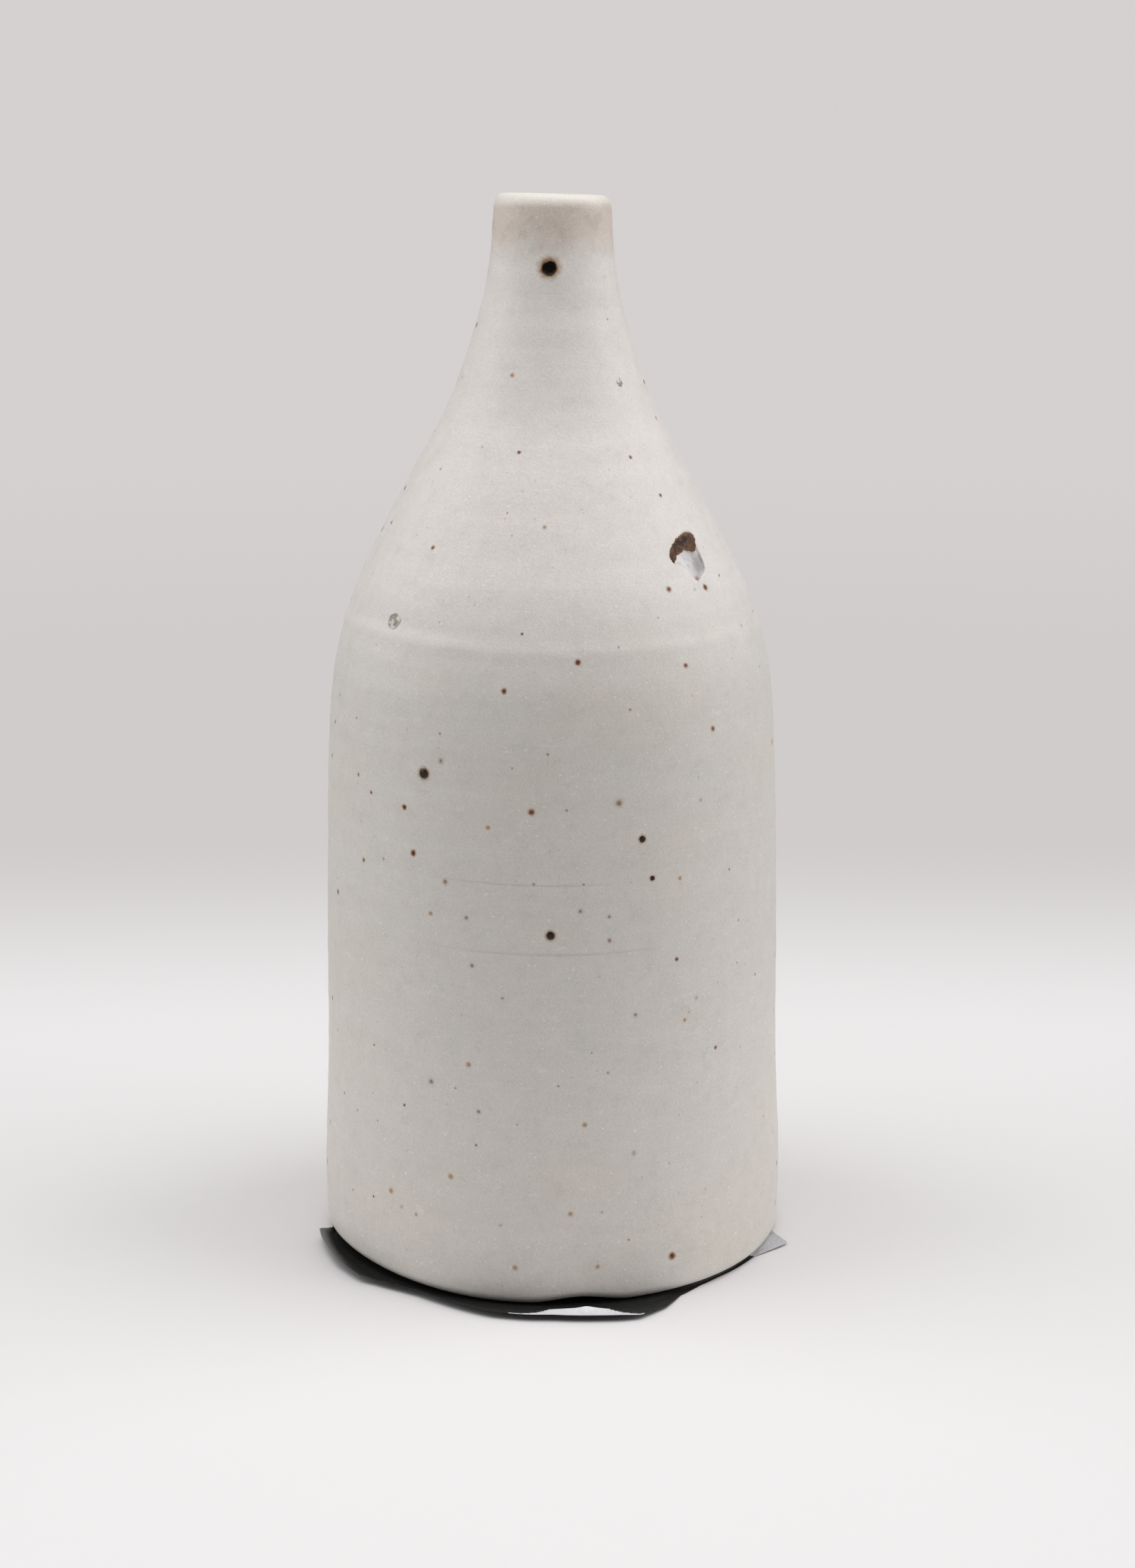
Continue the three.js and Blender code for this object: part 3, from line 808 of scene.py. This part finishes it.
def add_specks(piece, places):
    """Stores, for each point of the piece, the nearest speck: the way to its middle in units of its
    radius, its colour and how far it bleeds. Specks that lie close together go in two layers."""
    layers = {layer: [] for layer in SPECK_LAYERS}
    for kind, azimuth, height, width in all_specks():
        middle = on_wall(azimuth, height)
        layer = SPECK_LAYERS[0]
        if any(np.linalg.norm(middle - other) < SPECK_GAP for other, _, _ in layers[layer]):
            layer = SPECK_LAYERS[1]
        layers[layer].append((middle, width / 2, kind))
    for layer, specks in layers.items():
        offset = np.tile(np.array([0.0, 0.0, 99.0]), (len(places), 1))
        tint = np.ones((len(places), 4))
        bleed = np.zeros(len(places))
        nearest = np.full(len(places), 1e9)
        for middle, radius, kind in specks:
            away = places - middle
            distance = np.linalg.norm(away, axis=1)
            reach = 2.3 * radius + 1.2  # beyond the farthest that its stain can show
            own = (distance < reach) & (distance < nearest)
            nearest[own] = distance[own]
            offset[own] = away[own] / radius
            tint[own, :3] = SPECK_LOOKS[kind][0]
            bleed[own] = SPECK_LOOKS[kind][1]
        store(piece, f"speck_{layer}", "FLOAT_VECTOR", offset)
        store(piece, f"tint_{layer}", "FLOAT_COLOR", tint)
        store(piece, f"bleed_{layer}", "FLOAT", bleed)


def outer_glaze(material):
    """The glaze outside: its fine surface, and a plain back against the clay."""
    heights = spaced(0, HEIGHT, ROW_STEP, [STONE_ROWS, *LINE_ROWS])
    face, normals = outside_path(heights, CORNER_STEP)
    back, back_normals = outside_path(np.arange(0, HEIGHT, PLAIN_STEP), 4 * CORNER_STEP)
    back = (back - GLAZE * back_normals)[::-1]
    plain = turned(face, azimuths)
    across, level = np.broadcast_arrays(azimuths, face[:, 1:])
    lines = scored(plain, across, level)
    raised = relief(plain, across, level) - SCORE_DEPTH * lines - stone_pit(across, level)
    surface = face[:, None, :] + raised[..., None] * normals[:, None, :]
    grid = handmade(np.concatenate([turned(surface, azimuths), turned(back, azimuths)]))
    points, faces = lattice(grid, ring=True)
    piece = mesh_piece("glaze_outside", points, faces, [material])
    add_specks(piece, points)
    store(piece, "scored", "FLOAT", np.pad(lines, ((0, len(back)), (0, 0))))
    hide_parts("outer_glaze")


def clay_body(material):
    """The thrown clay between the glazes, bare only under the foot."""
    heights = np.arange(0, HEIGHT, PLAIN_STEP / 2)
    edge = FOOT_RADIUS - FOOT_ROUND
    under = [(0.5, RECESS), (edge - RING_WIDTH - RECESS, RECESS), (edge - RING_WIDTH, 0), (edge, 0)]
    outside, out_normals = outside_path(heights, 2 * CORNER_STEP)
    inside, in_normals = inside_path(heights, 2 * CORNER_STEP)
    path, normals = np.vstack([outside, inside]), np.vstack([out_normals, in_normals])
    outline = np.vstack([under, path - (GLAZE + GAP) * normals])
    points, faces = lattice(handmade(turned(outline, plain_azimuths)), ring=False)
    piece = mesh_piece("clay", points, faces, [material])
    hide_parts("clay_body")


def liner_glaze(material):
    """The glaze inside, from under the lip to the floor."""
    face, normals = inside_path(np.arange(0, HEIGHT, PLAIN_STEP / 3), CORNER_STEP)
    outline = np.vstack([(face - GLAZE * normals)[::-1], face])
    points, faces = lattice(handmade(turned(outline, plain_azimuths)), ring=False)
    piece = mesh_piece("glaze_inside", points, faces, [material])
    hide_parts("liner_glaze")


# ---- What broke through the glaze ----


def over_and_under(rows):
    """Values of a lump's face, again for its back, and 0 at the middles of both."""
    return np.concatenate([rows.ravel(), rows[::-1][1:].ravel(), [0, 0]])


def patch(name, place, radii, top, sink, material, rings=14):
    """A closed lump lying on the wall. radii is its outline, one radius for each of its spokes,
    top gives its height from the share of the way out and the place right and up, and sink is
    how deep it goes. The mesh keeps the share of the way out as the attribute edge. Returns the
    piece, and how far right and up each of its points is."""
    share, turn = np.meshgrid(np.linspace(0.04, 1, rings), full_turn(len(radii)), indexing="ij")
    right, up = share * radii * np.cos(turn), share * radii * np.sin(turn)
    upper = top(share, right, up)
    lower = -sink * np.sqrt(1 - (0.98 * share) ** 2)
    face = on_wall(*place, right, up, upper)
    back = on_wall(*place, right, up, lower)[::-1][1:]
    points, faces = lattice(np.concatenate([face, back]), ring=False)
    piece = mesh_piece(name, points, faces, [material])
    store(piece, "edge", "FLOAT", over_and_under(share))
    return piece, over_and_under(right), over_and_under(up)


def uneven(count, amount, seed):
    """A ring of factors near 1, for an outline that isn't quite round."""
    angle = full_turn(count)
    ring = np.stack([np.cos(angle), np.sin(angle), np.full(count, float(seed))], -1)
    return 1 + amount * noise_at(ring, 0.9)


def iron_bead(name, spot, seed, material):
    """A melted nodule: a low, slightly uneven dome."""
    azimuth, height, width = spot
    radii = width / 2 * uneven(48, 0.12, seed)
    proud = 0.09 * width

    def dome(share, right, up):
        dimple = 0.03 * width * flat_noise(right, up, seed, 0.5 * width)
        return proud * np.sqrt(np.maximum(1 - share**2.4, 0)) + dimple * (1 - share) + 0.04

    piece, _, _ = patch(f"{name}_glass", (azimuth, height), radii, dome, 0.35 * width, material)
    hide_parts(name)


def grit_lump(name, spot, seed, material):
    """An angular grain of grit, crumbled at its edge."""
    azimuth, height, width = spot
    radii = width / 2 * uneven(56, 0.28, seed)

    def crumb(share, right, up):
        rough = flat_noise(right, up, seed, 0.45, octaves=3)
        return 0.06 * (1 - share**3) + 0.07 * rough * (1 - share**4) - 0.03 * share

    piece, _, _ = patch(f"{name}_crumb", (azimuth, height), radii, crumb, 0.4 * width, material)
    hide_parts(name)


POOL_WHITE = (0.795, 0.772, 0.755)
POOL_BLUE = (0.62, 0.600, 0.598)
POOL_GREY = (0.34, 0.320, 0.315)
POOL_EDGE_SHADE = (0.20, 0.185, 0.185)
POOL_RUST = (0.33, 0.16, 0.11)


def milky_pool(material):
    """The glaze that pooled in the pit beside the stone."""
    bearing = np.arctan2(PIT_OUTLINE[:, 1], PIT_OUTLINE[:, 0]) % (2 * np.pi)
    order = np.argsort(bearing)
    far = np.hypot(*PIT_OUTLINE[order].T)
    radii = 1.02 * np.interp(full_turn(96), bearing[order], far, period=2 * np.pi)

    def surface(share, right, up):
        ripple = 0.015 * flat_noise(right, up, 0, 1.1)
        return ripple - 0.72 * pit_depth(right, up) - 0.05 * smoothstep(share, 0.85, 1)

    place = (STONE_AZIMUTH, STONE_HEIGHT)
    piece, right, up = patch("milky_glaze_pool", place, radii, surface, 0.7, material, rings=26)
    washes = [
        (POOL_BLUE, smoothstep(right + 0.25 * up, -2.4, 1.3)),
        (POOL_GREY, ridge(right, 1.9, 1.4) * ridge(up, -1.6, 1.9)),
        # Painted shade along the pit's steep right wall
        (POOL_EDGE_SHADE, 0.5 * smoothstep(right, 2.5, 3.0) * smoothstep(-up, -0.5, 1.5)),
        (POOL_RUST, np.minimum(1.3 * ridge(right, 0.3, 0.62) * ridge(up, -3.65, 0.36), 1)),
    ]
    tone = np.array(POOL_WHITE)
    for colour, share in washes:
        tone = tone + (np.array(colour) - tone) * share[:, None]
    store(piece, "tone", "FLOAT_COLOR", np.column_stack([tone, np.ones(len(tone))]))
    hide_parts("stone_glaze_pool")


STONE_SPINE = [  # right, up and half width along the arch of burnt stone
    (-3.35, -0.85, 0.15), (-3.2, -0.1, 0.5), (-2.65, 0.8, 0.75), (-1.45, 1.4, 0.9),
    (-0.4, 1.9, 1.0), (0.75, 2.05, 1.3), (1.8, 1.95, 1.42), (2.5, 1.75, 1.35), (2.85, 1.6, 1.0),
]


def burnt_stone(material):
    """The arch of dark stone that hangs over the upper left of the pit, rough all over."""
    along = spline(STONE_SPINE, 14)
    middle, half = along[:, :2], along[:, 2]
    tangent = np.gradient(middle, axis=0)
    side = np.stack([-tangent[:, 1], tangent[:, 0]], 1) / np.linalg.norm(tangent, axis=1)[:, None]
    turn = full_turn(64)
    across, depth = np.cos(turn), np.sin(turn)
    smooth = middle[:, None] + side[:, None] * (half[:, None] * across)[..., None]
    place = np.dstack([smooth, np.broadcast_to(depth, smooth.shape[:2])])
    crag = noise_at(place, 0.6, octaves=4)
    edge_crag = noise_at(place + 20, 0.8, octaves=2)
    right, up = np.moveaxis(smooth + 0.16 * edge_crag[..., None] * side[:, None], -1, 0)
    swell = np.where(depth > 0, 0.20, 0.9) * depth * np.minimum(half, 1.0)[:, None]
    out = swell + 0.12 * crag * (depth > -0.2) - 0.02
    points, faces = lattice(on_wall(STONE_AZIMUTH, STONE_HEIGHT, right, up, out), ring=False)
    piece = mesh_piece("burnt_stone", points, faces, [material])
    edge = np.concatenate([np.broadcast_to(np.abs(across), right.shape).ravel(), [1, 1]])
    store(piece, "edge", "FLOAT", edge)
    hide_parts("shoulder_stone")


# ---- The pad under the foot ----

PAD_FLAT_RADIUS = 34.2
PAD_THICKNESS = 0.5
PAD_EDGE_THICKNESS = 0.08
PAD_EDGE = [  # azimuth, radius and lift of the roughly cut edge, as in the part
    (-180, 35.2, 0), (-84, 35.2, 0.4), (-79, 35.2, 0.9), (-76.5, 36.4, 1.5), (-75.5, 37.7, 1.9),
    (-66, 38.3, 1.7), (-59, 38.7, 1.6), (-48, 38.9, 1.3), (-44.5, 38.1, 1.1), (-39, 37.5, 1.1),
    (-33, 37.1, 1.1), (-25, 37.9, 1.1), (-12.5, 39.7, 1.1), (-5, 39.9, 1.1), (0.5, 39.8, 1.1),
    (9.3, 40.6, 1.1), (14.6, 41.2, 1.1), (18.5, 41.3, 0.8), (20, 40.8, 0.7), (25.5, 39.3, 0.4),
    (32, 36.3, 0.1), (40, 35, 0), (46, 34.8, 0), (62, 35.2, 0.1), (66.5, 36.5, 0.3),
    (72.5, 38.6, 0.4), (77, 36.2, 0.3), (80, 35.2, 0.1), (180, 35.2, 0),
]
PAD_CURL = 1.3  # how the edge curls up: the power of the share of the way out
PAD_CREASE = [  # azimuth and height of the crease behind the margin that is folded down in front
    (-8.5, 0), (-4.3, 0.14), (-0.8, 0.41), (5.6, 0.76), (7.7, 1.02), (10.1, 0.72), (15.3, 0.21),
    (19, 0),
]
PAD_CREASE_SHARE = 0.72  # where the crease runs, as a share of the way out
PAD_CREASE_RISE = 2.5  # the power with which the sheet rises to it
PALE_FULL = 0.5  # height of the crease from which the whole margin is pale
CORNER_SPAN = (62, 80)  # azimuths between which a corner is turned over at the right
PAD_TURNS = np.arange(-180, 180, 0.75)
PAD_CREASE_HEIGHTS = np.interp(PAD_TURNS, *np.array(PAD_CREASE, float).T)
PAD_INSIDE = np.linspace(-8, 0, 9)  # the rows under the pot, counted from its edge
PAD_RISE = np.linspace(0.06, PAD_CREASE_SHARE, 12)  # the rows beyond it, as shares of the way out
PAD_MARGIN = np.linspace(PAD_CREASE_SHARE, 1, 8)
PAD_SHARES = np.concatenate([PAD_INSIDE, PAD_RISE, PAD_MARGIN[1:]])


def pad_grid():
    """The pad's points: rows outward under it and back inward over it, by columns round it."""
    stations, edge_radius, edge_lift = np.array(PAD_EDGE, float).T
    edge_radius = np.interp(PAD_TURNS, stations, edge_radius)
    edge_lift = np.interp(PAD_TURNS, stations, edge_lift)
    angle = np.radians(PAD_TURNS)
    curled = np.maximum(PAD_SHARES, 0)[:, None]
    flat = PAD_FLAT_RADIUS * (1 + np.minimum(PAD_SHARES, 0) / 8.1)[:, None]
    wave = flat_noise(np.cos(angle), np.sin(angle), 0, 0.12)
    radius = flat + curled * (edge_radius - PAD_FLAT_RADIUS - 0.06 * (1 + wave))
    rising = (curled / PAD_CREASE_SHARE) ** PAD_CREASE_RISE
    falling = (1 - curled) / (1 - PAD_CREASE_SHARE)
    curl = edge_lift * curled**PAD_CURL + PAD_CREASE_HEIGHTS * np.minimum(rising, falling)
    thickness = PAD_THICKNESS + (PAD_EDGE_THICKNESS - PAD_THICKNESS) * smoothstep(curled, 0, 0.5)
    x, y = radius * np.sin(angle), -radius * np.cos(angle)
    return np.concatenate([np.stack([x, y, curl], -1), np.stack([x, y, curl + thickness], -1)[::-1]])


def pad_is_pale(face):
    """Whether a face of the pad is in its folded margin in front or its corner at the right."""
    row = face.index // len(PAD_TURNS) - len(PAD_SHARES)  # -1 at the cut edge, and on inward over it
    middle = face.center / MM
    turn = math.degrees(math.atan2(middle.x, -middle.y))
    if CORNER_SPAN[0] < turn < CORNER_SPAN[1] and math.hypot(middle.x, middle.y) > PAD_FLAT_RADIUS:
        return True
    folded = min(np.interp(turn, PAD_TURNS, PAD_CREASE_HEIGHTS) / PALE_FULL, 1)
    pale_from = 1 - (1 - PAD_CREASE_SHARE) * folded
    return -1 <= row < len(PAD_MARGIN) - 1 and PAD_SHARES[::-1][max(row, 0)] > pale_from


def foot_pad(dark_and_shade_material, pale_material):
    """A thin sheet, roughly cut, whose edge curls at the left. In front its pale margin is folded
    down, and at the right a pale corner is turned over."""
    points, faces = lattice(pad_grid(), ring=False)
    piece = mesh_piece("thin_foot_pad", points, faces, [dark_and_shade_material, pale_material])
    # Painted shade: outside the turned-over corner the pale underside takes the dark material, where it
    # lies in shade near the floor
    for face in piece.data.polygons:
        face.material_index = int(pad_is_pale(face))
    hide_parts("foot_pad")


# ---- Stage, light and camera ----

FLOOR_RADIUS = 30.0  # metres
FLOOR_COLOUR = (0.845, 0.822, 0.825)
FADE_START, FADE_END = 85, 250  # distances behind the vase over which the floor is seen to fade
FAR_START, FAR_END = 330, 800  # and the same in every other direction
PATCH_START, PATCH_END = 100, 170  # distances over which the lit patch of floor round the vase ends
PALE_LOW = (0.630, 0.603, 0.605)  # the pale surroundings low down and further up
PALE_HIGH = (0.668, 0.634, 0.634)
LOW_END, HIGH_START = 430, 1100  # distances from the vase between which one becomes the other
DIM_FLOOR = (0.52, 0.51, 0.51)  # what lights the vase from beyond the patch, by direction
DIM_BACK = (0.20, 0.20, 0.20)
DIM_FRONT = (0.015, 0.015, 0.015)
BRIGHT_LEFT = (1.36, 1.37, 1.37)
BRIGHT_RIGHT = (1.64, 1.64, 1.65)
LIGHT_PLACE, LIGHT_AIM = (0.0, -0.12, 0.75), (0, 0, 0.08)  # metres
LIGHT_SIZE, LIGHT_POWER = 0.8, 3.5
CAMERA_PLACE = (0.0024, -0.3988, 0.164)  # metres from the middle of the foot
CAMERA_DOWN = 13.18  # degrees below level
LENS, SENSOR = 61.0, 36.0


def seen_by_camera(nodes):
    """1 for what the camera sees directly, 0 for what lights the vase."""
    return nodes.node("ShaderNodeLightPath").outputs["Is Camera Ray"]


def pale_floor():
    """A plain pale floor, lit round the vase, that fades into the pale surroundings behind it.
    Beyond the lit patch it gives a dimmer light of its own, which the camera never sees."""
    shader = Shader("pale_floor")
    seen = seen_by_camera(shader)
    behind = shader.along("Y")
    distance = shader.vector("LENGTH", shader.place)
    far_off = shader.span(distance, FAR_START, FAR_END)
    faded = shader.math("MAXIMUM", shader.span(behind, FADE_START, FADE_END), far_off)
    beyond = shader.span(distance, PATCH_START, PATCH_END)
    away = shader.math("MULTIPLY_ADD", seen, shader.math("SUBTRACT", faded, beyond), beyond)
    pale = shader.mix(shader.span(distance, LOW_END, HIGH_START), PALE_LOW, PALE_HIGH)
    glow = shader.mix(seen, DIM_FLOOR, pale)
    shader.set(Base_Color=shader.mix(away, FLOOR_COLOUR, (0, 0, 0)), Roughness=0.9, Specular_IOR_Level=0.0)
    shader.set(Emission_Color=shader.mix(away, (0, 0, 0), glow), Emission_Strength=1.0)
    turn = full_turn(96)
    rim = FLOOR_RADIUS * np.stack([np.cos(turn), np.sin(turn), 0 * turn], 1)
    mesh = bpy.data.meshes.new("pale_floor")
    mesh.from_pydata(rim.tolist(), [], [list(range(len(rim)))])
    mesh.materials.append(shader.material)
    floor = in_scene("pale_floor", mesh)


def overhead_light():
    """A square soft light above the vase that faces its middle."""
    data = bpy.data.lights.new("overhead", "AREA")
    data.shape = "SQUARE"
    data.size = LIGHT_SIZE
    data.energy = LIGHT_POWER
    light = in_scene("overhead", data)
    light.visible_camera = False
    light.location = LIGHT_PLACE
    aim = Vector(LIGHT_AIM) - Vector(LIGHT_PLACE)
    light.rotation_euler = aim.to_track_quat("-Z", "Y").to_euler()


def pale_world():
    """The studio round the vase: it is seen plain and pale, while it lights the vase from both
    sides, a little from behind and hardly at all from in front."""
    world = bpy.data.worlds.new("pale_world")
    world.use_nodes = True
    nodes = Nodes(world.node_tree)
    direction = nodes.node("ShaderNodeTexCoord").outputs["Generated"]
    level = nodes.vector("NORMALIZE", nodes.vector("MULTIPLY", direction, (1, 1, 0)))
    parts = nodes.node("ShaderNodeSeparateXYZ", {"Vector": level}).outputs
    ahead = nodes.mix(nodes.span(parts["Y"], -0.3, 0.5), DIM_FRONT, DIM_BACK)
    side = nodes.mix(nodes.span(parts["X"], -0.5, 0.5), BRIGHT_LEFT, BRIGHT_RIGHT)
    lit = nodes.mix(nodes.span(nodes.math("ABSOLUTE", parts["X"]), 0.75, 0.97), ahead, side)
    background = world.node_tree.nodes["Background"]
    seen = nodes.mix(seen_by_camera(nodes), lit, PALE_HIGH)
    world.node_tree.links.new(seen, background.inputs["Color"])
    bpy.context.scene.world = world


def camera():
    """In front of the vase and just above its lip, looking 13 degrees down."""
    data = bpy.data.cameras.new("camera")
    data.lens = LENS
    data.sensor_width = SENSOR
    data.clip_start = 0.01
    eye = in_scene("camera", data)
    eye.location = Vector(CAMERA_PLACE) + Vector((0, 0, FOOT * MM))
    eye.rotation_euler = (math.radians(90 - CAMERA_DOWN), 0, 0)
    bpy.context.scene.camera = eye


# ---- Everything together ----

camera()
pale_floor()
overhead_light()
pale_world()
bpy.context.scene.view_settings.view_transform = "Standard"

glaze = glaze_material()
outer_glaze(glaze)
liner_glaze(glaze)
clay_body(clay_material())
foot_pad(pad_top_material(), pad_back_material())

iron = bead_material()
for number, (name, spot) in enumerate(BEADS.items()):
    iron_bead(name, spot, 3 + number, iron)
grit = grit_material()
for number, (name, spot) in enumerate(GRITS.items()):
    grit_lump(name, spot, 20 + number, grit)
milky_pool(pool_material())
burnt_stone(stone_material())
